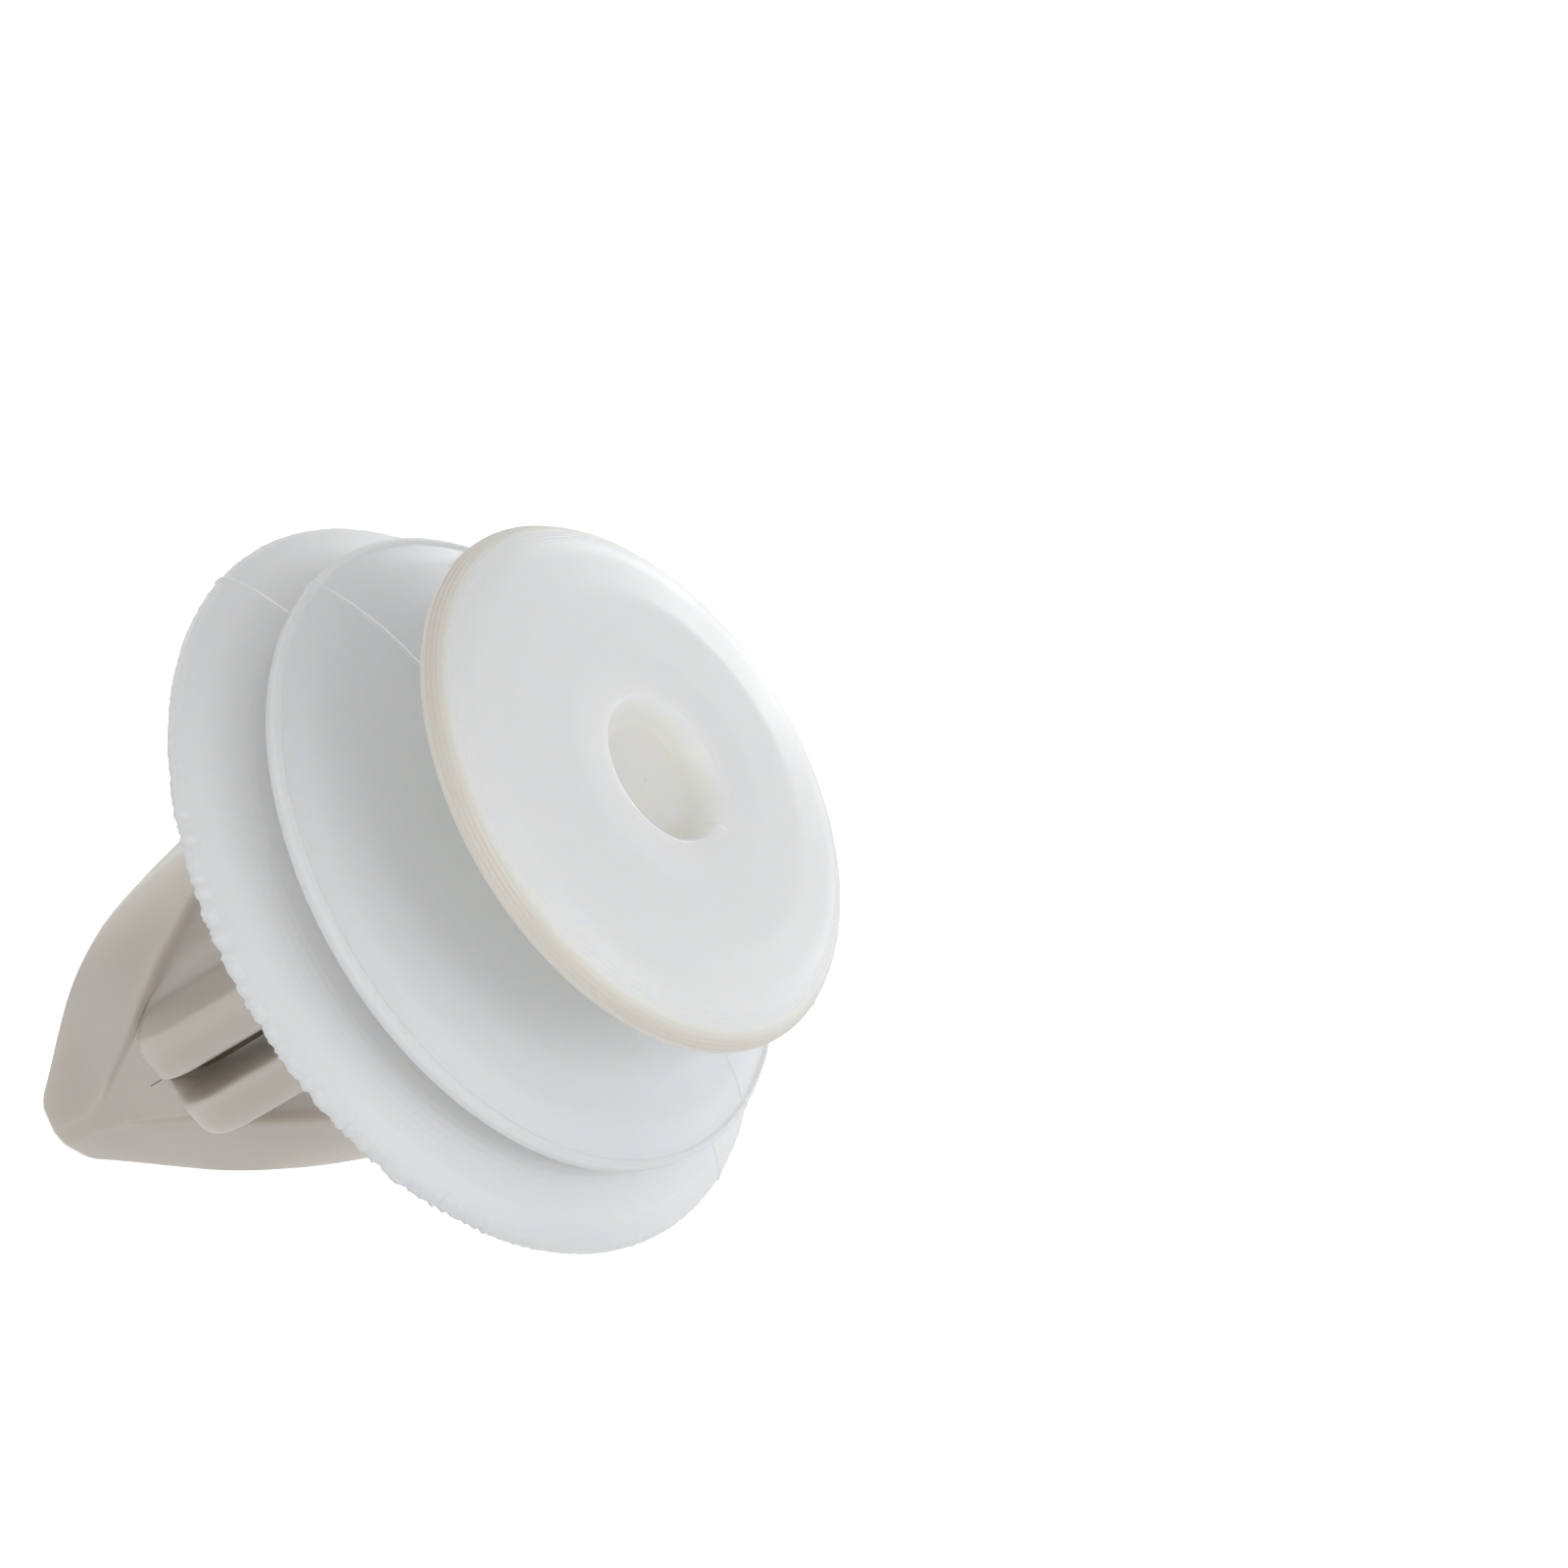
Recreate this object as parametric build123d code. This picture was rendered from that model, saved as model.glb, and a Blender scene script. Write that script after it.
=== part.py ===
"""Push-in panel clip: head, neck, two umbrella flanges, and a slotted spade shank with two spring legs.

Row frame, millimetres. The clip's axis is Z, with the head up and the nose down.
The origin is on the axis, in the plane of the sealing flange's lower rim, which seats on the panel.
X runs across the two legs. Y is the direction in which the mould opens.
"""
import os
from build123d import *

# Driving dimensions
HEAD_R = 8.0              # head disc radius
HEAD_RIM_Z = 6.5          # underside of the head's rim
HEAD_LAND = 0.5           # width of the flat land under the head's rim
HEAD_EDGE = 0.6           # height of the head's edge band
HEAD_TOP_Z = 8.0          # top of the domed face, at the recess
HEAD_HUB_Z = 7.3          # underside of the dished head at the neck
RECESS_R = 2.2            # round recess in the head's face
RECESS_DEPTH = 0.9
NECK_R = 3.1              # neck between head and upper flange
NECK_TOP_Z = 6.6          # upper end of the neck, inside the dished head
UPPER_R = 9.65            # upper flange radius
UPPER_RIM_Z = 2.2         # underside of the upper flange's rim
UPPER_HUB_Z = 3.3         # underside of the upper flange at the hub
SEAL_R = 11.15            # sealing flange radius
SEAL_HUB_Z = 1.7          # underside of the sealing flange at the waist
SEAL_LAND = 0.5           # width of the flat land under the sealing rim
FLANGE_T = 0.62           # web thickness of both flanges
RIM_T = 0.5               # thickness of both flange rims
HUB_R = 3.5               # hub between the flanges
WAIST_R = 2.9             # waist below the sealing flange
WAIST_Z = 0.7             # lower end of the waist
NOSE_TIP_Z = -17.3        # end of the nose
HINGE_Z = -13.0           # seam between nose and legs, where the legs flex
SEAM = 0.08               # gap at the flexing line
SLOT_HALF = 0.45          # half width of the slot between the legs
WEB_HALF_X = 0.15         # half thickness of the web in the slot
WEB_HALF_Y = 0.5          # half depth of the web in the slot
RELIEF_HALF_Y = 0.7       # half depth of the channel that lets the legs close over the web
RELIEF_X = 0.95           # how far from the axis that channel reaches
RIB_HALF_Y = 3.9          # ribs stand this far from the mid plane
RIB_OUTER_X = 1.75        # outer side of a rib
RIB_TOP_Z = 0.25          # ribs end here, just below the waist
RIB_FULL_Z = -9.4         # ribs reach full height here
RIB_START_Z = -12.0       # ribs rise out of the leg here
RIB_EDGE = 0.2            # small rounding on a rib's long edges
BLADE_HALF_Y = 0.95       # half thickness of a leg under its ribs
WING_TOP_Z = 1.15         # upper end of the wings, under the sealing flange
WING_HOOK_X = 3.45        # inner side of a wing's upper end, beside the waist
NOSE_TIP_ROUND = 0.2      # rounding of the blunt end's edges

# A leg's cross sections: height, outer distance from the axis, half width of the outer face,
# and the place and half thickness of the valley between wing and ribs.
LEG_SECTIONS = [
    (HINGE_Z + SEAM, 3.75, 0.40, 2.5, 0.95),
    (-11.5, 4.38, 0.50, 2.9, 0.90),
    (-9.5, 4.95, 0.90, 3.2, 0.88),
    (-6.5, 5.42, 1.45, 3.4, 0.88),
    (-4.0, 5.62, 1.95, 3.5, 0.90),
    (-1.6, 5.52, 2.20, 3.5, 0.95),
    (WING_TOP_Z, 4.30, 1.65, 3.3, 0.95),
]
# The nose's cross sections: height, half width across the legs, half depth at the middle and at the edges.
NOSE_SECTIONS = [
    (HINGE_Z, 3.75, 1.00, 0.38),
    (-14.2, 3.15, 1.20, 0.36),
    (-15.5, 2.35, 1.22, 0.36),
    (-16.7, 1.45, 1.00, 0.42),
    (NOSE_TIP_Z, 0.95, 0.68, 0.42),
]


def revolved(points):
    """A full turn about Z of a closed outline given as radius and height pairs."""
    outline = Polyline(*[(r, 0, z) for r, z in points], close=True)
    return revolve(make_face(outline), axis=Axis.Z)


def head_disc():
    """Dished disc: a dome that is level at the recess, a hollow back, a flat land under the rim."""
    edge_top = HEAD_RIM_Z + HEAD_EDGE
    floor = HEAD_TOP_Z - RECESS_DEPTH
    width, rise = HEAD_R - RECESS_R, HEAD_TOP_Z - edge_top
    dome_radius = (width**2 + rise**2) / (2 * rise)
    drop = dome_radius - (dome_radius**2 - (width / 2) ** 2) ** 0.5
    dome_mid = (RECESS_R + width / 2, 0, HEAD_TOP_Z - drop)
    under = Polyline(
        (0, 0, floor), (0, 0, NECK_TOP_Z), (NECK_R, 0, NECK_TOP_Z), (NECK_R, 0, HEAD_HUB_Z),
        (HEAD_R - HEAD_LAND, 0, HEAD_RIM_Z), (HEAD_R, 0, HEAD_RIM_Z), (HEAD_R, 0, edge_top)
    )
    dome = ThreePointArc((HEAD_R, 0, edge_top), dome_mid, (RECESS_R, 0, HEAD_TOP_Z))
    recess = Polyline((RECESS_R, 0, HEAD_TOP_Z), (RECESS_R, 0, floor), (0, 0, floor))
    return revolve(make_face(under + dome + recess), axis=Axis.Z)


def neck():
    bottom = UPPER_HUB_Z + FLANGE_T
    return Pos(0, 0, bottom) * extrude(Circle(NECK_R), NECK_TOP_Z - bottom)


def upper_flange():
    """Thin disc that droops towards its rim, with the bend three quarters of the way out."""
    bend_r = UPPER_R - 2.3
    bend_z = UPPER_RIM_Z + 0.55
    return revolved([
        (0, UPPER_HUB_Z), (HUB_R, UPPER_HUB_Z), (bend_r, bend_z), (UPPER_R - 0.15, UPPER_RIM_Z),
        (UPPER_R, UPPER_RIM_Z + 0.15), (UPPER_R, UPPER_RIM_Z + RIM_T - 0.15),
        (UPPER_R - 0.15, UPPER_RIM_Z + RIM_T), (bend_r, bend_z + FLANGE_T),
        (NECK_R, UPPER_HUB_Z + FLANGE_T), (0, UPPER_HUB_Z + FLANGE_T),
    ])


def flange_hub():
    bottom = SEAL_HUB_Z + FLANGE_T
    return Pos(0, 0, bottom) * extrude(Circle(HUB_R), UPPER_HUB_Z - bottom)


def sealing_flange():
    """Umbrella flange whose rim ends in a narrow flat land that seats on the panel."""
    bend_r = SEAL_R - 1.8
    bend_z = 0.55
    return revolved([
        (0, SEAL_HUB_Z), (HUB_R, SEAL_HUB_Z), (bend_r, bend_z), (SEAL_R - SEAL_LAND, 0),
        (SEAL_R, 0), (SEAL_R, RIM_T - 0.15), (SEAL_R - 0.15, RIM_T), (bend_r, bend_z + FLANGE_T),
        (HUB_R, SEAL_HUB_Z + FLANGE_T), (0, SEAL_HUB_Z + FLANGE_T),
    ])


def waist():
    return Pos(0, 0, WAIST_Z) * extrude(Circle(WAIST_R), SEAL_HUB_Z - WAIST_Z)


def centre_web():
    """Thin web in the slot, from the waist down to the nose."""
    height = WAIST_Z - HINGE_Z
    return Pos(0, 0, HINGE_Z) * extrude(Rectangle(2 * WEB_HALF_X, 2 * WEB_HALF_Y), height)


def lens_face(z, half_x, half_y, edge_y):
    """A flat lens across the legs, thick in the middle and thin at both edges."""
    points = [
        (half_x, -edge_y, z), (half_x, edge_y, z), (0, half_y, z),
        (-half_x, edge_y, z), (-half_x, -edge_y, z), (0, -half_y, z),
    ]
    return make_face(Polyline(*points, close=True))


def nose():
    body = loft([lens_face(*section) for section in NOSE_SECTIONS], ruled=True)
    tip_edges = body.faces().sort_by(Axis.Z)[0].edges()
    return fillet(tip_edges, NOSE_TIP_ROUND)


def leg_face(z, outer_x, outer_y, valley_x, valley_y):
    """Half section of the right leg: slot side, base under the ribs, valley, outer face."""
    base_x = RIB_OUTER_X
    upper = [(SLOT_HALF, BLADE_HALF_Y), (base_x, BLADE_HALF_Y), (valley_x, valley_y), (outer_x, outer_y)]
    lower = [(x, -y) for x, y in reversed(upper)]
    return make_face(Polyline(*[(x, y, z) for x, y in upper + lower], close=True))


def wing():
    """Right leg without its ribs."""
    body = loft([leg_face(*section) for section in LEG_SECTIONS], ruled=True)
    waist_gap = Pos(WING_HOOK_X / 2, 0, RIB_TOP_Z + 2) * Box(WING_HOOK_X, 8, 4)
    relief_height = 2 * abs(HINGE_Z) + 4
    relief = Pos(0, 0, HINGE_Z) * Box(2 * RELIEF_X, 2 * RELIEF_HALF_Y, relief_height)
    return body - waist_gap - relief


def front_rib():
    """Right leg's rib on the +Y side, with a ramp out of the leg towards the nose."""
    side = Polyline(
        (0, BLADE_HALF_Y, RIB_START_Z), (0, RIB_HALF_Y - 0.9, RIB_FULL_Z - 1.1),
        (0, RIB_HALF_Y, RIB_FULL_Z), (0, RIB_HALF_Y, RIB_TOP_Z), (0, BLADE_HALF_Y, RIB_TOP_Z), close=True
    )
    bar = Pos(SLOT_HALF, 0, 0) * extrude(make_face(side), RIB_OUTER_X - SLOT_HALF, dir=(1, 0, 0))
    long_edges = bar.edges().filter_by(Axis.Z).group_by(Axis.Y)[-1]
    return fillet(long_edges, RIB_EDGE)


def leg(side):
    """The three parts of one leg; side is 1 for the right leg and -1 for the left."""
    right = {"wing": wing(), "front_rib": front_rib(), "back_rib": mirror(front_rib(), about=Plane.XZ)}
    if side > 0:
        return right
    return {name: mirror(shape, about=Plane.YZ) for name, shape in right.items()}


def all_parts():
    parts = {
        "head_disc": head_disc(), "neck": neck(), "upper_flange": upper_flange(),
        "flange_hub": flange_hub(), "sealing_flange": sealing_flange(), "waist": waist(),
        "centre_web": centre_web(), "nose": nose(),
    }
    for label, side in (("right", 1), ("left", -1)):
        for name, shape in leg(side).items():
            parts[f"{label}_{name}"] = shape
    return parts


os.makedirs("parts", exist_ok=True)
for node, shape in all_parts().items():
    export_step(shape, f"parts/{node}.step")
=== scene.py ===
"""Visual model of the push-in panel clip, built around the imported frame.

Row frame: the clip's axis is Z, the head is up, and the origin is in the plane of the sealing flange's rim.
Shapes are worked out in millimetres and scaled to metres when their meshes are made.
"""

import math
from collections import Counter

import bmesh
import bpy
import numpy as np
from mathutils import Matrix, Vector, noise


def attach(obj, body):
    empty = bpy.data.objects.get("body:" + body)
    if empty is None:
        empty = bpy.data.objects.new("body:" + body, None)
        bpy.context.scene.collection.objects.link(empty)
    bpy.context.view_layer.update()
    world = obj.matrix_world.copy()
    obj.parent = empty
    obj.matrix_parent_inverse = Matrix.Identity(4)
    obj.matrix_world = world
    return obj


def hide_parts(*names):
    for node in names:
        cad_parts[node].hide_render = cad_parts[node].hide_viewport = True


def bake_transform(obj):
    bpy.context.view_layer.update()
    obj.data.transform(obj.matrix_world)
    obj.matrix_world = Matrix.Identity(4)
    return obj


MM = 0.001

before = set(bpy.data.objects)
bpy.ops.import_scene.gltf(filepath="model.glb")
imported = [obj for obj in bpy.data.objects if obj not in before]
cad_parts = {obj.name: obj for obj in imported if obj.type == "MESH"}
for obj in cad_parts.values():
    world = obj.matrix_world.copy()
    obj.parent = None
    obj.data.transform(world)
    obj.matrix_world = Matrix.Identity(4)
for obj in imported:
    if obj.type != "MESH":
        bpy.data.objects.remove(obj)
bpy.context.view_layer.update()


# ---------------------------------------------------------------- outlines and meshes

CUT_LIMIT = 0.46          # a fillet takes at most this share of each side beside it
MIN_STEP = 0.004          # outline points closer than this are merged


def smooth_table(rows):
    """Monotone cubic through rows of (z, value, ...); gives a function from z to the values."""
    data = np.array(rows, float)
    z, v = data[:, 0], data[:, 1:]
    h = np.diff(z)[:, None]
    d = np.diff(v, axis=0) / h
    slope = np.zeros_like(v)
    same = d[1:] * d[:-1] > 0
    total = np.where(same, d[1:] + d[:-1], 1.0)
    slope[1:-1] = np.where(same, 2 * d[1:] * d[:-1] / total, 0)
    slope[0], slope[-1] = d[0], d[-1]

    def at(q):
        q = min(max(q, z[0]), z[-1])
        i = min(max(int(np.searchsorted(z, q)) - 1, 0), len(z) - 2)
        t = (q - z[i]) / h[i, 0]
        start = (2 * t**3 - 3 * t**2 + 1) * v[i] + (t**3 - 2 * t**2 + t) * h[i, 0] * slope[i]
        end = (3 * t**2 - 2 * t**3) * v[i + 1] + (t**3 - t**2) * h[i, 0] * slope[i + 1]
        return start + end
    return at


def smoothstep(low, high, x):
    """0 below low, 1 above high and an even curve between; x is a number or an array."""
    t = np.clip((x - low) / (high - low), 0, 1)
    return t * t * (3 - 2 * t)


def fillet(before, corner, after, radius, count):
    """Points of the curve that rounds a corner."""
    a, b = before - corner, after - corner
    la, lb = np.linalg.norm(a) + 1e-9, np.linalg.norm(b) + 1e-9
    a, b = a / la, b / lb
    half = math.acos(min(max(float(a @ b), -1.0), 1.0)) / 2
    turn = math.pi - 2 * half
    cut = min(radius * math.tan(turn / 2), CUT_LIMIT * la, CUT_LIMIT * lb)
    start, end = corner + a * cut, corner + b * cut
    return [(1 - t) ** 2 * start + 2 * t * (1 - t) * corner + t * t * end for t in np.linspace(0, 1, count)]


def rounded(corners, arc_points, straight_points):
    """Open outline through corners (x, y, fillet radius); other radii give the same number of points."""
    points = [np.array(c[:2], float) for c in corners]
    out = []
    last = points[0]
    for i in range(1, len(corners)):
        if i < len(corners) - 1:
            curve = fillet(points[i - 1], points[i], points[i + 1], corners[i][2], arc_points)
        else:
            curve = [points[i]]
        out.extend(last + (curve[0] - last) * t for t in np.linspace(0, 1, straight_points + 1)[:-1])
        out.extend(curve[:-1])
        last = curve[-1]
    return np.array(out + [last])


def spaced(points, step):
    """The outline with extra points, so that none is further from the next than step(x, y)."""
    out = [points[0]]
    for a, b in zip(points[:-1], points[1:]):
        n = max(1, int(math.ceil(np.linalg.norm(b - a) / step(*((a + b) / 2)))))
        out.extend(a + (b - a) * k / n for k in range(1, n + 1))
    keep = [out[0]]
    for q in out[1:]:
        if np.linalg.norm(q - keep[-1]) > MIN_STEP:
            keep.append(q)
    return np.array(keep)


def ring_faces(rings, count):
    """Quads between rings of count points each, then the two end faces."""
    quads = [
        (i * count + k, i * count + (k + 1) % count, (i + 1) * count + (k + 1) % count, (i + 1) * count + k)
        for i in range(rings - 1) for k in range(count)
    ]
    low = tuple(range(count))[::-1]
    high = tuple((rings - 1) * count + k for k in range(count))
    return quads + [low, high]


def triangulate_ends(mesh):
    """Splits faces with many corners into triangles and turns every face outwards."""
    bm = bmesh.new()
    bm.from_mesh(mesh)
    bmesh.ops.triangulate(bm, faces=[f for f in bm.faces if len(f.verts) > 4])
    bmesh.ops.recalc_face_normals(bm, faces=bm.faces)
    bm.to_mesh(mesh)
    bm.free()


def mesh_object(name, vertices, faces, capped, **attributes):
    """A closed, smooth-shaded mesh; when it is capped, its last two faces are ends with sharp edges."""
    mesh = bpy.data.meshes.new(name)
    mesh.from_pydata([tuple(v) for v in np.asarray(vertices) * MM], [], faces)
    mesh.update()
    mesh.polygons.foreach_set("use_smooth", [True] * len(mesh.polygons))
    if capped:
        uses = Counter(key for end in list(mesh.polygons)[-2:] for key in end.edge_keys)
        for edge in mesh.edges:
            edge.use_edge_sharp = uses[edge.key] == 1
    for label, values in attributes.items():
        layer = mesh.attributes.new(label, "FLOAT", "POINT")
        layer.data.foreach_set("value", np.asarray(values, np.float32))
    triangulate_ends(mesh)
    obj = bpy.data.objects.new(name, mesh)
    bpy.context.scene.collection.objects.link(obj)
    return obj


# ---------------------------------------------------------------- nylon

CLOUD_SCALE = 170.0       # broad, faint clouding
FLOW_SCALE = 420.0        # flow marks, in colour and in roughness
GRAIN_SCALE = 9000.0      # fine grain of the surface
SCATTER_LENGTH = 0.0016
SMOOTHEST, ROUGHEST = 0.30, 0.44
INNER_TONE_AT = 0.35      # tone value at which the ramp reaches the hubs' creamy painted glow
WHITE = (1.0, 1.0, 1.0, 1)


def nylon(name, painted_reflection_tone, painted_glow_tone, painted_shade_tone):
    """Translucent natural nylon with painted light and shade in its base colour: bluish at thin rims as a
    painted reflection of the bright surroundings, creamy by the hubs and in the recess as a painted glow,
    darker in the solid shank and on the head's rim band as painted shade, and whitened lips as painted
    highlights.

    The meshes' attributes steer it: one picks the painted tone, another whitens lips and parting lines as
    painted highlights, and seam fades the scattering out where two pieces meet.
    """
    mat = bpy.data.materials.new(name)
    mat.use_nodes = True
    nodes, links = mat.node_tree.nodes, mat.node_tree.links
    shader = nodes["Principled BSDF"]
    coords = nodes.new("ShaderNodeTexCoord")

    def attribute(label):
        node = nodes.new("ShaderNodeAttribute")
        node.attribute_name = label
        return node.outputs["Fac"]

    def noise_field(scale, detail, roughness):
        node = nodes.new("ShaderNodeTexNoise")
        links.new(coords.outputs["Object"], node.inputs["Vector"])
        for socket, value in (("Scale", scale), ("Detail", detail), ("Roughness", roughness)):
            node.inputs[socket].default_value = value
        return node.outputs["Fac"]

    def remap(source, low, high, to_low, to_high):
        node = nodes.new("ShaderNodeMapRange")
        sockets = ("From Min", "From Max", "To Min", "To Max")
        for socket, value in zip(sockets, (low, high, to_low, to_high)):
            node.inputs[socket].default_value = value
        links.new(source, node.inputs["Value"])
        return node.outputs["Result"]

    def mixed(kind, factor, a, b):
        node = nodes.new("ShaderNodeMix")
        node.data_type = "RGBA"
        node.blend_type = kind
        for socket, value in (("Factor", factor), ("A", a), ("B", b)):
            target = [s for s in node.inputs if s.name == socket and s.enabled][0]
            if isinstance(value, (float, tuple)):
                target.default_value = value
            else:
                links.new(value, target)
        return [s for s in node.outputs if s.enabled][0]

    def shaded(base, field, darkest):
        """The base colour, tinted towards darkest where the noise field is low."""
        tint = mixed("MIX", remap(field, 0.1, 0.9, 0.0, 1.0), darkest, WHITE)
        return mixed("MULTIPLY", 1.0, base, tint)

    flow = noise_field(FLOW_SCALE, 1.0, 0.4)
    # The tone ramp paints light and shade: a bluish painted reflection at 0, a creamy painted glow at the
    # hubs' value, painted shade at 1.
    tones = nodes.new("ShaderNodeValToRGB")
    tones.color_ramp.elements[0].color = painted_reflection_tone
    tones.color_ramp.elements[1].color = painted_shade_tone
    tones.color_ramp.elements.new(INNER_TONE_AT).color = painted_glow_tone
    links.new(attribute("thick"), tones.inputs["Fac"])
    # Lips and parting lines are whitened here as painted highlights.
    base = mixed("MIX", attribute("pale"), tones.outputs["Color"], WHITE)
    base = shaded(base, noise_field(CLOUD_SCALE, 1.0, 0.4), (0.975, 0.975, 0.97, 1))
    base = shaded(base, flow, (0.985, 0.98, 0.97, 1))
    links.new(base, shader.inputs["Base Color"])

    links.new(remap(flow, 0.1, 0.9, SMOOTHEST, ROUGHEST), shader.inputs["Roughness"])
    links.new(remap(attribute("seam"), 0.0, 1.0, 1.0, 0.0), shader.inputs["Subsurface Weight"])
    shader.inputs["Subsurface Radius"].default_value = (1.0, 0.82, 0.66)
    shader.inputs["Subsurface Scale"].default_value = SCATTER_LENGTH
    shader.inputs["IOR"].default_value = 1.53

    bump = nodes.new("ShaderNodeBump")
    bump.inputs["Strength"].default_value = 0.10
    bump.inputs["Distance"].default_value = 0.00004
    links.new(noise_field(GRAIN_SCALE, 4.0, 0.7), bump.inputs["Height"])
    links.new(bump.outputs["Normal"], shader.inputs["Normal"])
    return mat


# Tones: bluish painted reflection, creamy painted glow, and darker painted shade.
NYLON = nylon("nylon", (0.93, 0.945, 0.965, 1), (0.99, 0.97, 0.91, 1), (0.60, 0.56, 0.515, 1))


# ---------------------------------------------------------------- head, neck, flanges, waist

RING_STEP = 0.035         # outline steps: at the head's rings, at the flange rims and elsewhere
RIM_STEP = 0.06
PLAIN_STEP = 0.16
TURN_COUNT = 1000         # columns round the axis
TURN_CROWDING = 0.22      # columns crowd towards the mould's parting plane
HEAD_Z = 6.6              # the head's dome lies above this height
PARTING_WIDTH = 0.07
PARTING_HEIGHT = 0.05
HEAD_RING_PITCH = 0.19    # turning rings near the head's rim
HEAD_RING_HEIGHT = 0.010
BAND_RING_PITCH = 0.21    # fainter rings on the flanges' outer bands
BAND_RING_HEIGHT = 0.003
TORN_START = (0.55, 0.95)  # turn angles over which the torn stretch of the sealing rim begins
TORN_END = (1.9, 2.5)     # turn angles over which it ends
FLASH_LIMIT = 0.10        # the torn flash stands out no further than this
UPPER_ROUGHNESS = 0.012   # unevenness of the upper flange's rim
RIM_WAVE = 0.035          # the flanges' rims lie this far out of flat
NICK_TURN = 3.32          # direction of the small nick at the recess's edge, in radians
NICK_RADIUS = 2.2
NICK_DEPTH, NICK_WIDTH, NICK_LENGTH = 0.12, 0.09, 0.2

TURNED = [                # radius, height, fillet radius
    (0.0, 7.12, 0), (1.75, 7.14, 0.50), (2.20, 7.90, 0.16),
    (3.6, 7.97, 1.2), (5.4, 7.90, 3.0), (6.85, 7.62, 2.0), (7.72, 7.17, 1.2), (7.97, 6.72, 0.5),
    (7.93, 6.53, 0.14), (7.45, 6.51, 0.14), (3.12, 7.28, 0.45), (3.05, 3.96, 0.55),
    (5.2, 3.74, 2.5), (7.35, 3.46, 2.6), (8.7, 3.06, 2.0), (9.42, 2.70, 0.12), (9.50, 2.76, 0.04),
    (9.64, 2.64, 0.05), (9.60, 2.24, 0.08), (9.45, 2.21, 0.08), (7.4, 2.76, 1.2), (3.5, 3.3, 0.35),
    (3.5, 2.34, 0.45), (7.2, 1.66, 2.5), (9.2, 1.26, 2.4), (10.4, 0.80, 1.6), (11.02, 0.40, 0.25),
    (11.12, 0.26, 0.08), (11.12, 0.02, 0.05), (10.68, 0.01, 0.05), (9.35, 0.54, 1.2),
    (3.6, 1.68, 0.45), (2.88, 0.78, 0.25), (2.55, 0.70, 0.15), (0.0, 0.70, 0),
]


def turned_step(r, z):
    """Finest at the head's rim rings and at the flange rims, coarser elsewhere."""
    if z > HEAD_Z and 6.9 < r < 7.96:
        return RING_STEP
    if (z < 0.7 and r > 10.2) or (z < 3.0 and r > 9.0):
        return RIM_STEP
    return PLAIN_STEP


def bell(x, width):
    return np.exp(-(x / width) ** 2)


def rings_and_parting(r, z, n_z, across):
    """Height of the turning rings and the parting line, and where there is such a line.

    across is the distance from the parting plane.
    """
    dome = (z > HEAD_Z) & (r < 7.95) & (n_z > 0.05)
    along = r - z
    head_rings = HEAD_RING_HEIGHT * smoothstep(6.9, 7.3, r) * np.sin(2 * math.pi * along / HEAD_RING_PITCH)
    band = (n_z > 0.4) & (z < 4.0) & (r > 8.8)
    band_rings = BAND_RING_HEIGHT * np.sin(2 * math.pi * r / BAND_RING_PITCH)
    parted = ~(dome | ((z > 6.95) & (r < 2.6)))
    lift = np.where(dome, head_rings, 0) + np.where(band, band_rings, 0)
    return lift + np.where(parted, PARTING_HEIGHT, 0) * bell(across, PARTING_WIDTH), parted


def rim_damage(r, z, turn):
    """How far torn flash stands out of the sealing rim, and the upper rim's slight unevenness."""
    cos, sin = np.cos(turn), np.sin(turn)

    def round_noise(scale, height):
        return np.array([noise.noise(Vector((scale * c, scale * s, height))) for c, s in zip(cos, sin)])

    coarse, fine, finest = round_noise(5, 3.1), round_noise(38, 8.7), round_noise(90, 1.7)
    torn = smoothstep(*TORN_START, turn) * (1 - smoothstep(*TORN_END, turn))
    flash = torn * (0.05 * coarse + 0.07 * fine + 0.13 * finest) + 0.012 * fine + 0.022 * finest
    at_seal = np.where(z < 0.7, smoothstep(10.75, 11.05, r), 0)
    at_upper = np.where((z > 2.0) & (z < 3.2), smoothstep(9.4, 9.6, r), 0)
    return at_seal * np.minimum(flash, FLASH_LIMIT) + at_upper * UPPER_ROUGHNESS * finest


def thickness_tone(r, z):
    """Painted tone: 0 at thin rims (bluish painted reflection), more towards the hubs and in the recess
    (creamy painted glow), and most at the head's solid rim (painted shade).
    """
    inner = np.where(z < 6.0, 0.38 * (1 - smoothstep(4.6, 8.8, r)), 0.35 * (1 - smoothstep(1.6, 3.0, r)))
    # The head's rim band is darkened as painted shade.
    rim_painted_shade = np.where(z < 6.5, 0.0, smoothstep(7.2, 7.95, r))
    return np.clip(inner + 0.8 * rim_painted_shade, 0, 1)


def painted_highlights_at(r, z, parted, across):
    """How strongly the surface is whitened as a painted highlight: most at the thin lips of flanges and
    recess and along the parting line.
    """
    upper = np.where((z > 2.5) & (z < 3.2), smoothstep(9.36, 9.46, r), 0)
    seal = np.where((z > 0.1) & (z < 0.6), smoothstep(10.95, 11.05, r), 0)
    recess = np.where((z > 7.6) & (r < 2.5), smoothstep(2.0, 2.15, r), 0)
    line = np.where(parted, 0.9, 0) * bell(across, 1.2 * PARTING_WIDTH)
    return np.clip(0.9 * upper + 0.5 * seal + 0.8 * recess + line, 0, 1)


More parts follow.
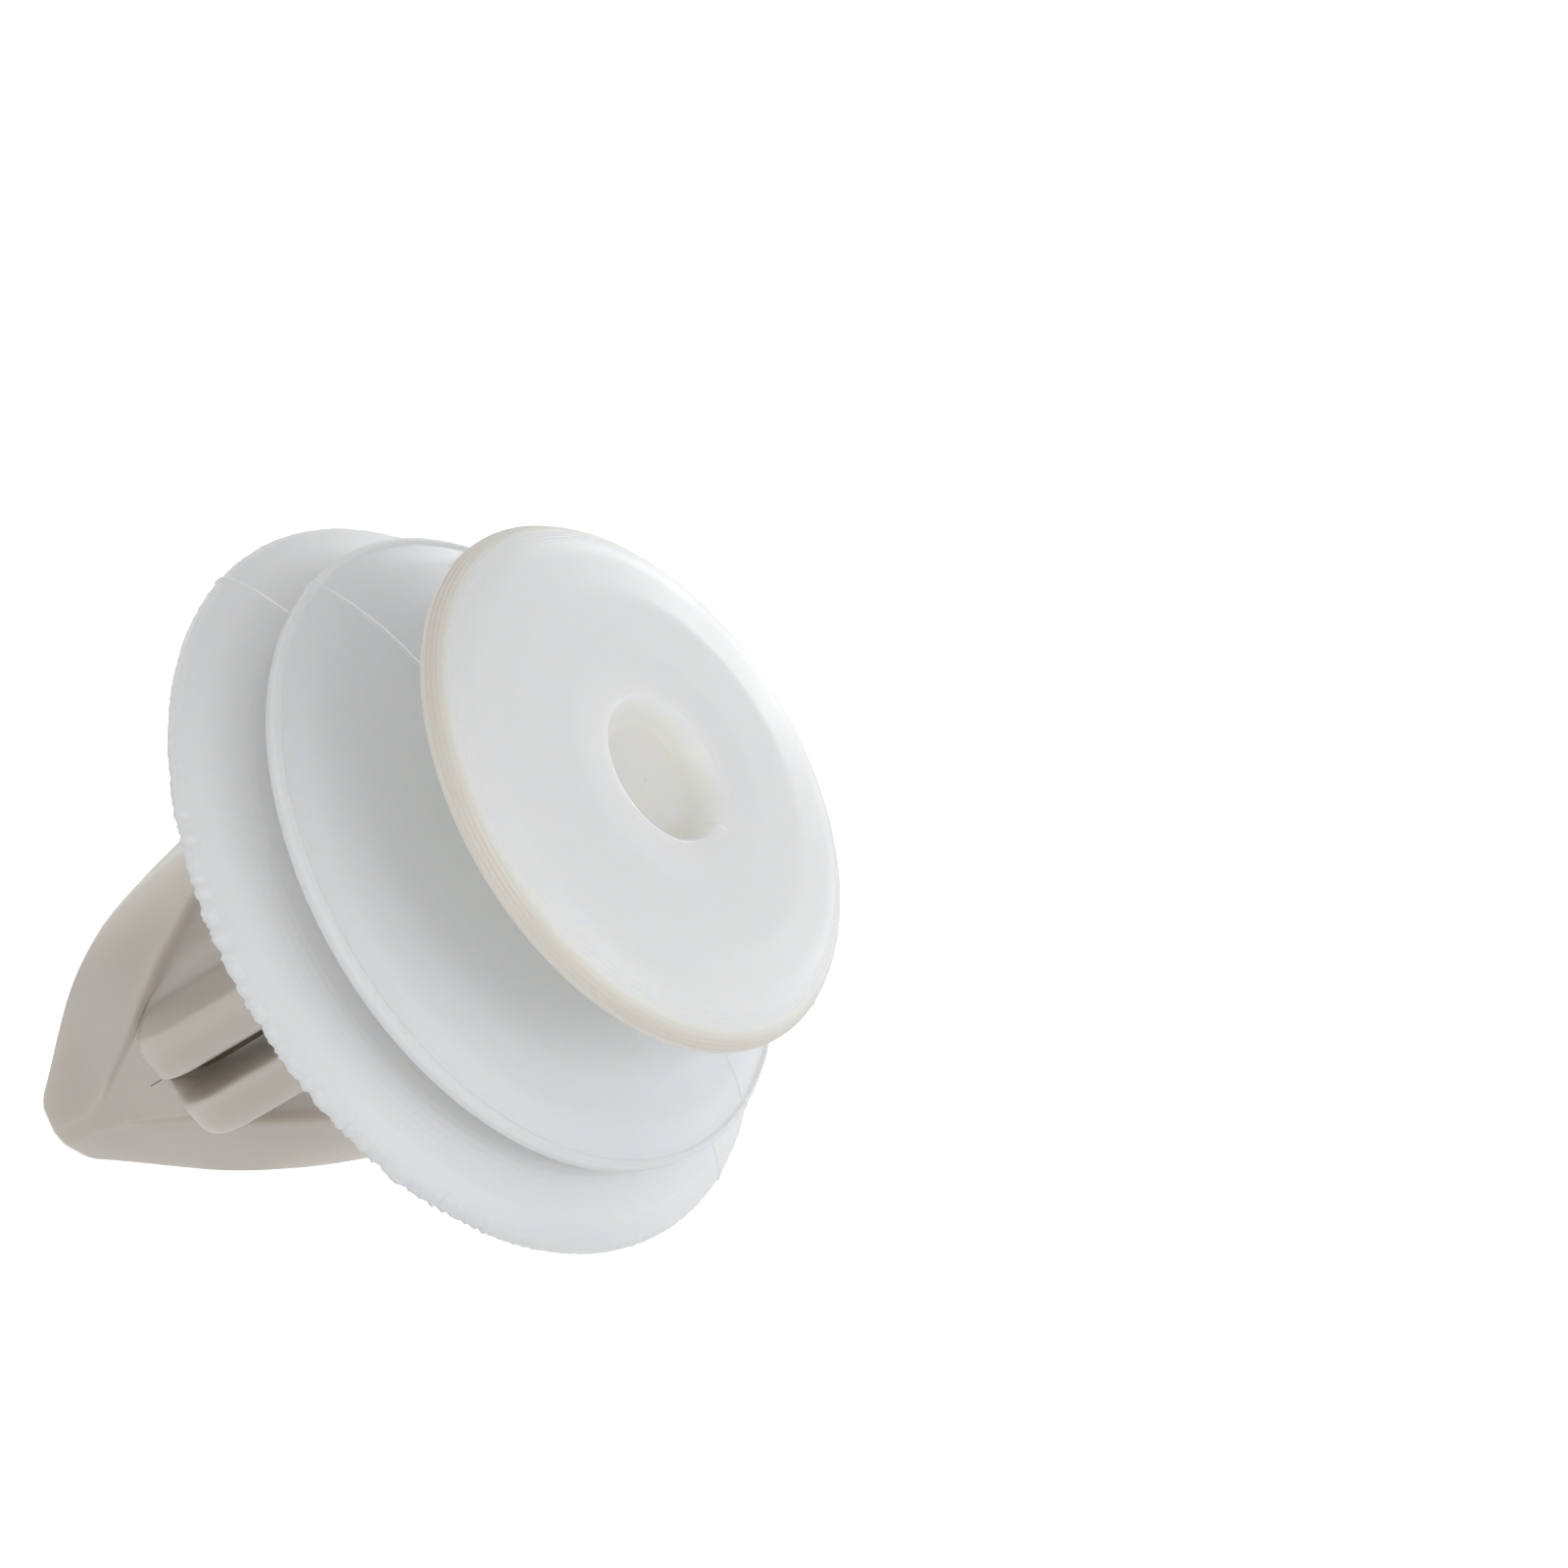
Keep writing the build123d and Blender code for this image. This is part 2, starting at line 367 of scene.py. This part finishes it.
def turned_faces(rows):
    """Quads between the turned rows, and a fan of triangles to the axis at each end."""
    k = np.arange(TURN_COUNT)
    k2 = (k + 1) % TURN_COUNT
    first = (np.arange(rows - 1) * TURN_COUNT)[:, None]
    quads = np.stack([first + k, first + TURN_COUNT + k, first + TURN_COUNT + k2, first + k2], axis=2)
    top, bottom, last = rows * TURN_COUNT, rows * TURN_COUNT + 1, (rows - 1) * TURN_COUNT
    faces = quads.reshape(-1, 4).tolist()
    faces += [(top, int(i), int(j)) for i, j in zip(k, k2)]
    faces += [(bottom, int(last + j), int(last + i)) for i, j in zip(k, k2)]
    return faces


def clip_top():
    """Head, recess, neck, both flanges and waist as one turned skin with the mould's marks on it."""
    profile = spaced(rounded(TURNED, 9, 3), turned_step)
    u = np.arange(TURN_COUNT) * 2 * math.pi / TURN_COUNT
    turn = u - TURN_CROWDING * np.sin(2 * u)
    tangent = np.gradient(profile, axis=0)
    tangent /= np.linalg.norm(tangent, axis=1)[:, None] + 1e-12
    n_r, n_z = -tangent[1:-1, 1:2], tangent[1:-1, 0:1]
    r, z = profile[1:-1, 0:1], profile[1:-1, 1:2]
    across = r * np.sin(turn)

    lift, parted = rings_and_parting(r, z, n_z, across)
    wave = np.where(z < 4.2, RIM_WAVE * smoothstep(3.5, 11.0, r), 0) * np.where(z > 0.2, 1.0, 0.3)
    nick = np.where((z > 7.2) & (r > 1.9), NICK_DEPTH, 0)
    nick = nick * bell((turn - NICK_TURN) * r, NICK_WIDTH) * bell(r - NICK_RADIUS, NICK_LENGTH)
    radius = r + n_r * lift + rim_damage(r, z, turn)
    height = z + n_z * lift + wave * np.sin(2 * turn + 0.7) - nick
    grid = np.stack([radius * np.cos(turn), radius * np.sin(turn), height], axis=2)

    ends = [(0, 0, profile[0][1]), (0, 0, profile[-1][1])]
    vertices = np.concatenate([grid.reshape(-1, 3), ends])
    # Painted light and shade go into two attributes: the painted tone, and whitening as painted highlights.
    thick = np.broadcast_to(thickness_tone(r, z), radius.shape)
    pale = painted_highlights_at(r, z, parted, across)
    return mesh_object(
        "clip_top", vertices, turned_faces(len(r)), False,
        thick=np.append(thick.ravel(), [0.5, 1.0]), seam=np.zeros(len(vertices)),
        pale=np.append(pale.ravel(), [0.0, 0.0]),
    )


# ---------------------------------------------------------------- shank

SEAM_Z = -12.9
TIP_Z = -17.3
LEG_TOP_Z = 0.25
WING_TOP_Z = 1.13
FADE_START, FADE_END = 0.4, 2.2   # distances from the seam over which the scattering comes back
LEG_MIDDLE_X = 2.4                # a leg's upper end narrows towards this distance from the axis
LEG_END_INSET = 0.03
TIP_ROUND = 0.42                  # height over which the nose's end is rounded
TIP_SHRINK = 0.70                 # size of the nose's flat end beside its full section
FOOT_AT_SEAM = 1.14

# z, ridge distance, ridge half width, edge of the broad flank, its height, foot of the step, its height
FLANK = smooth_table([
    (TIP_Z, 1.02, 0.36, 0.30, 0.66, 0.20, 0.68),
    (-16.9, 1.30, 0.28, 0.31, 0.86, 0.21, 0.88),
    (-16.2, 1.78, 0.22, 0.32, 1.08, 0.22, 1.10),
    (-15.2, 2.48, 0.18, 0.36, 1.24, 0.25, 1.25),
    (-14.6, 2.88, 0.18, 0.50, 1.27, 0.34, 1.22),
    (-13.8, 3.38, 0.20, 0.92, 1.24, 0.72, 1.07),
    (SEAM_Z, 3.86, 0.23, 1.36, 1.18, FOOT_AT_SEAM, 0.95),
    (-11.9, 4.30, 0.27, 1.92, 1.12, 1.66, 0.86),
    (-10.9, 4.66, 0.38, 2.48, 1.08, 2.20, 0.80),
    (-9.5, 5.00, 0.68, 3.15, 1.12, 2.85, 0.80),
    (-8.0, 5.26, 1.05, 3.75, 1.26, 3.45, 0.92),
    (-6.8, 5.42, 1.36, 4.25, 1.45, 3.95, 1.12),
    (-5.4, 5.55, 1.68, 4.55, 1.68, 4.25, 1.36),
    (-4.0, 5.63, 1.93, 4.70, 1.86, 4.35, 1.50),
    (-1.6, 5.52, 2.22, 4.70, 2.02, 4.35, 1.62),
    (-0.6, 5.15, 2.18, 4.50, 1.98, 4.20, 1.60),
    (LEG_TOP_Z, 4.32, 1.72, 3.98, 1.60, 3.80, 1.40),
])
# z, slot wall, relief wall, rib height, rib's outer side, its foot, height there, valley, height there
RIB = smooth_table([
    (SEAM_Z, 0.012, 0.014, 0.95, 0.40, 0.62, 0.95, 0.88, 0.95),
    (-12.4, 0.012, 0.014, 0.96, 0.85, 1.15, 0.90, 1.35, 0.88),
    (-12.0, 0.03, 0.06, 1.20, 1.12, 1.52, 0.88, 1.66, 0.84),
    (-11.5, 0.22, 0.50, 1.85, 1.38, 1.84, 0.86, 1.98, 0.80),
    (-10.9, 0.40, 0.90, 2.72, 1.60, 1.98, 0.84, 2.20, 0.78),
    (-10.3, 0.45, 0.95, 3.32, 1.70, 2.02, 0.84, 2.40, 0.75),
    (-9.6, 0.45, 0.95, 3.68, 1.74, 2.03, 0.84, 2.55, 0.74),
    (-8.8, 0.45, 0.95, 3.84, 1.75, 2.03, 0.84, 2.75, 0.74),
    (-5.0, 0.45, 0.95, 3.88, 1.75, 2.03, 0.86, 3.00, 0.80),
    (LEG_TOP_Z, 0.45, 0.95, 3.88, 1.75, 2.03, 0.95, 3.00, 0.92),
])


def flank_corners(z):
    """Front outline from the step's foot to the ridge, as corners with fillet radii."""
    ridge, width, edge, edge_y, foot, foot_y = FLANK(z)
    soft = smoothstep(-10.5, -5.0, z)
    blunt = 1 - smoothstep(TIP_Z, -15.5, z)
    return [
        (foot, foot_y, 0.8 + 0.9 * soft),
        (edge, edge_y, 0.45 + 1.0 * soft + 0.4 * blunt),
        (ridge, width, 0.16 + 0.10 * soft + 0.1 * blunt),
        (ridge + 0.03, 0.0, 0),
    ]


def leg_loop(z):
    """Section of the right leg: relief, slot wall, rib, valley, flank and ridge, and their mirror image."""
    slot, relief, rib, rib_out, base, base_y, valley, valley_y = RIB(z)
    up = smoothstep(-12.2, -9.6, z)
    ramp = smoothstep(-12.4, -11.4, z) * (1 - smoothstep(-10.6, -8.8, z))
    corners = [
        (relief, 0.0, 0), (relief, 0.70, 0.04), (slot, 0.72, 0.04),
        (slot, rib, 0.01 + 0.24 * up + 0.10 * ramp), (rib_out, rib, 0.24 + 0.36 * up + 0.20 * ramp),
        (base, base_y, 0.45 + 0.35 * up), (valley, valley_y, 0.9),
    ]
    half = rounded(corners + flank_corners(z), 7, 6)
    return np.concatenate([half, half[::-1][1:-1] * (1, -1)])


def nose_loop(z):
    """Section of the nose: a lens whose outline carries on from the legs' at the seam."""
    rib_out, base, valley = RIB(SEAM_Z)[[3, 4, 6]]
    foot, foot_y = FLANK(z)[[4, 5]]
    squeeze = min(1.0, foot / FOOT_AT_SEAM)
    middle = [
        (0.0, foot_y, 0), (rib_out * squeeze, foot_y, 0.20), (base * squeeze, foot_y, 0.25),
        (valley * squeeze, foot_y, 0.9),
    ]
    right = rounded(middle + flank_corners(z), 7, 6)
    half = np.concatenate([right[::-1] * (-1, 1), right[1:]])
    return np.concatenate([half, half[::-1][1:-1] * (1, -1)])


def seam_value(distance):
    """1 at the seam between nose and leg, 0 away from it."""
    return 1 - smoothstep(FADE_START, FADE_END, distance)


def leg(name, side):
    """One whole leg. side is 1 for the right leg and -1 for the left."""
    heights = np.concatenate([
        np.linspace(SEAM_Z, -9.0, 66), np.linspace(-9.0, -1.6, 62)[1:], np.linspace(-1.6, LEG_TOP_Z, 30)[1:]
    ])
    vertices, thick, seam = [], [], []
    for z in heights:
        loop = leg_loop(z)
        x, y = loop[:, 0], loop[:, 1]
        rise = smoothstep(-1.4, LEG_TOP_Z, z) * (WING_TOP_Z - LEG_TOP_Z) * smoothstep(3.0, 3.5, x)
        inset = 1 - LEG_END_INSET * smoothstep(LEG_TOP_Z - 0.12, LEG_TOP_Z, z)
        out = side * (LEG_MIDDLE_X + (x - LEG_MIDDLE_X) * inset)
        vertices.extend(np.stack([out, y * inset, z + rise], axis=1))
        # The shank is darkened as painted shade, a little less towards the flanks' outer edges.
        thick.extend(1.0 - 0.2 * smoothstep(3.5, 5.5, x))
        seam.extend([seam_value(z - SEAM_Z)] * len(loop))
    faces = ring_faces(len(heights), len(loop))
    if side > 0:
        faces = [face[::-1] for face in faces]
    return mesh_object(name, vertices, faces, True, thick=thick, seam=seam)


def nose():
    """Blunt wedge below the legs: the two flanks meet over the middle, and its end is rounded."""
    heights = np.concatenate([np.linspace(SEAM_Z, -16.6, 56), np.linspace(-16.6, TIP_Z, 22)[1:]])
    vertices, seam = [], []
    for z in heights:
        t = min(max((z - TIP_Z) / TIP_ROUND, 0.0), 1.0)
        shrink = TIP_SHRINK + (1 - TIP_SHRINK) * math.sqrt(max(0.0, 1 - (1 - t) ** 2))
        loop = nose_loop(z) * shrink
        vertices.extend((x, y, z) for x, y in loop)
        seam.extend([seam_value(SEAM_Z - z)] * len(loop))
    faces = ring_faces(len(heights), len(loop))
    # The nose takes the darkest painted shade.
    return mesh_object("nose_skin", vertices, faces, True, thick=[1.0] * len(vertices), seam=seam)


def web():
    """Thin web in the slot, with rounded long edges."""
    half_x, half_y, edge = 0.15, 0.5, 0.08
    section = rounded([
        (0.0, half_y, 0), (half_x, half_y, edge), (half_x, -half_y, edge),
        (-half_x, -half_y, edge), (-half_x, half_y, edge), (0.0, half_y, 0),
    ], 5, 3)[:-1]
    heights = np.linspace(-12.95, 0.68, 60)
    vertices = [(x, y, z) for z in heights for x, y in section]
    faces = ring_faces(len(heights), len(section))
    # The web is darkened nearly fully as painted shade.
    return mesh_object("slot_web", vertices, faces, True,
                       thick=[0.9] * len(vertices), seam=[0.0] * len(vertices))


TOP_NODES = ("head_disc", "neck", "upper_flange", "flange_hub", "sealing_flange", "waist")
pieces = {
    "clip_top": (clip_top(), TOP_NODES),
    "nose_skin": (nose(), ("nose",)),
    "slot_web": (web(), ("centre_web",)),
}
for piece, nodes in pieces.values():
    piece.data.materials.append(NYLON)
    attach(piece, "moulding")
    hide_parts(*nodes)

for label, side in (("right", 1), ("left", -1)):
    skin = leg(f"{label}_leg_skin", side)
    skin.data.materials.append(NYLON)
    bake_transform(skin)
    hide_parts(f"{label}_wing", f"{label}_front_rib", f"{label}_back_rib")


# ---------------------------------------------------------------- camera, floor, light

VIEW_RIGHT = Vector((-0.6137, -0.3295, 0.7175))
VIEW_UP = Vector((0.7595, -0.4950, 0.4226))
VIEW_BACK = Vector((0.2155, 0.8050, 0.5537))
CAMERA_PLACE = Vector((32.3, 128.4, 99.0)) * MM
LIGHT_TARGET = Vector((0, 0, -4)) * MM

FLOOR_DROP = 0.00005      # metres between the nose and the floor
SWEEP_COLUMNS = 96
SWEEP_RADIUS = 1.8        # the wall stands this far away, all round
SWEEP_BEND = 0.35
SWEEP_HEIGHT = 0.45

COOL_LIGHT = (0.97, 0.985, 1.0)


def camera():
    data = bpy.data.cameras.new("camera")
    data.sensor_width = 36.0
    data.lens = 135.0
    data.clip_start = 0.005
    data.clip_end = 20.0
    obj = bpy.data.objects.new("camera", data)
    bpy.context.scene.collection.objects.link(obj)
    obj.rotation_mode = "QUATERNION"
    obj.rotation_quaternion = Matrix((VIEW_RIGHT, VIEW_UP, VIEW_BACK)).transposed().to_quaternion()
    obj.location = CAMERA_PLACE
    bpy.context.scene.camera = obj


def stage_white():
    """Matt white that glows faintly, like an evenly lit studio sweep."""
    mat = bpy.data.materials.new("sweep_white")
    mat.use_nodes = True
    shader = mat.node_tree.nodes["Principled BSDF"]
    shader.inputs["Base Color"].default_value = (0.9, 0.9, 0.9, 1)
    shader.inputs["Roughness"].default_value = 0.9
    shader.inputs["Specular IOR Level"].default_value = 0.1
    shader.inputs["Emission Color"].default_value = WHITE
    shader.inputs["Emission Strength"].default_value = 0.65
    return mat


def sweep():
    """Plain pale floor just under the nose, curving up far away into a low wall all round."""
    floor_z = TIP_Z * MM - FLOOR_DROP
    bend = SWEEP_RADIUS - SWEEP_BEND
    outline = [(0.05, 0.0), (0.3, 0.0), (0.8, 0.0), (1.2, 0.0)]
    outline += [
        (bend + SWEEP_BEND * math.sin(a), SWEEP_BEND - SWEEP_BEND * math.cos(a))
        for a in np.linspace(0.1, math.pi / 2, 12)
    ]
    outline += [(SWEEP_RADIUS, SWEEP_HEIGHT)]
    turns = np.arange(SWEEP_COLUMNS) * 2 * math.pi / SWEEP_COLUMNS
    vertices = [(r * math.cos(a), r * math.sin(a), floor_z + h) for r, h in outline for a in turns]
    faces = [face[::-1] for face in ring_faces(len(outline), SWEEP_COLUMNS)[:-1]]
    mesh = bpy.data.meshes.new("floor")
    mesh.from_pydata(vertices, [], faces)
    mesh.materials.append(stage_white())
    obj = bpy.data.objects.new("floor", mesh)
    bpy.context.scene.collection.objects.link(obj)
    obj.visible_diffuse = False


def softbox(name, direction, distance, size, power, colour):
    """Area light at a distance in metres from the clip, facing it; size is its width and height."""
    data = bpy.data.lights.new(name, "AREA")
    data.shape = "RECTANGLE"
    data.size, data.size_y = size
    data.energy = power
    data.color = colour
    light = bpy.data.objects.new(name, data)
    bpy.context.scene.collection.objects.link(light)
    place = LIGHT_TARGET + direction.normalized() * distance
    light.location = place
    light.rotation_mode = "QUATERNION"
    light.rotation_quaternion = (LIGHT_TARGET - place).to_track_quat("-Z", "Y")


def studio_world():
    """Even, nearly neutral light from all round, shown without a film curve."""
    world = bpy.data.worlds.new("studio")
    bpy.context.scene.world = world
    world.use_nodes = True
    background = world.node_tree.nodes["Background"]
    background.inputs["Color"].default_value = (0.98, 0.985, 0.99, 1)
    background.inputs["Strength"].default_value = 0.46
    bpy.context.scene.view_settings.view_transform = "Standard"


camera()
sweep()
key_side = VIEW_RIGHT * 0.85 + VIEW_BACK * 0.45 - VIEW_UP * 0.05
rim_side = VIEW_RIGHT * 0.87 - VIEW_BACK * 0.45
softbox("key", key_side, 0.6, (0.4, 0.4), 0.7, COOL_LIGHT)
softbox("side", rim_side, 0.6, (0.35, 0.35), 0.5, COOL_LIGHT)
softbox("fill", Vector((0.3, 0.92, 0.2)), 0.5, (0.35, 0.35), 0.8, (1.0, 0.99, 0.96))
softbox("top", Vector((0.1, -0.3, 0.95)), 0.6, (0.30, 0.30), 0.05, (1.0, 1.0, 1.0))
softbox("back", Vector((-0.05, -0.98, 0.16)), 0.6, (0.30, 0.18), 0.55, (0.98, 0.99, 1.0))
studio_world()
